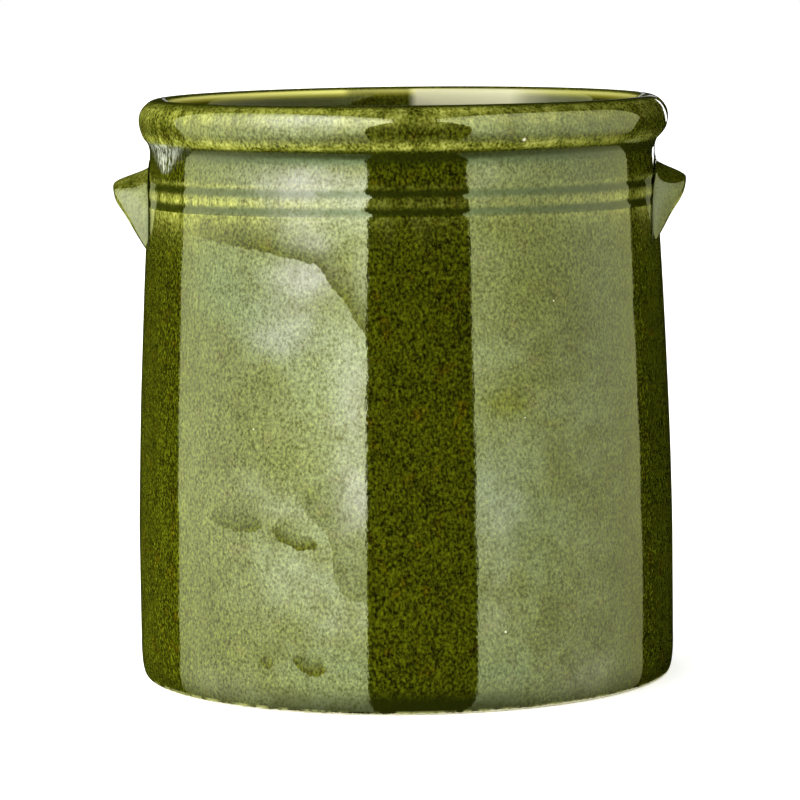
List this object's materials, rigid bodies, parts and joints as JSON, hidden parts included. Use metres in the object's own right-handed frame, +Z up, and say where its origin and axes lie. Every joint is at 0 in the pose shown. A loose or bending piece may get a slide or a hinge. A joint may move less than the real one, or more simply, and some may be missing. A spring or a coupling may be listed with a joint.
{
  "type": "ceramic crock fermenter",
  "caption": "Open glazed stoneware fermentation crock with a rolled rim, incised shoulder lines, side ear lugs and half-moon weights that lift out.",
  "frame": {"origin": "centre of the foot ring, on the surface the crock stands on", "axes": "+Z up along the crock's turning axis, X through the two lugs, -Y the front"},
  "size_m": [0.2128, 0.2, 0.215],
  "materials": {
    "olive_glaze": "glossy speckled olive-green glaze on stoneware",
    "weight_clay": "matt unglazed cream stoneware"
  },
  "bodies": {
    "crock": {"crock_body": "olive_glaze", "lug_handle_left": "olive_glaze", "lug_handle_right": "olive_glaze"},
    "weight_left": {"weight_half_left": "weight_clay"},
    "weight_right": {"weight_half_right": "weight_clay"}
  },
  "joints": [
    {"name": "weight_left_lift", "type": "slide", "parent": "crock", "child": "weight_left", "axis": [0, 0, 1], "range_m": [0, 0.24]},
    {"name": "weight_right_lift", "type": "slide", "parent": "crock", "child": "weight_right", "axis": [0, 0, 1], "range_m": [0, 0.24]}
  ]
}
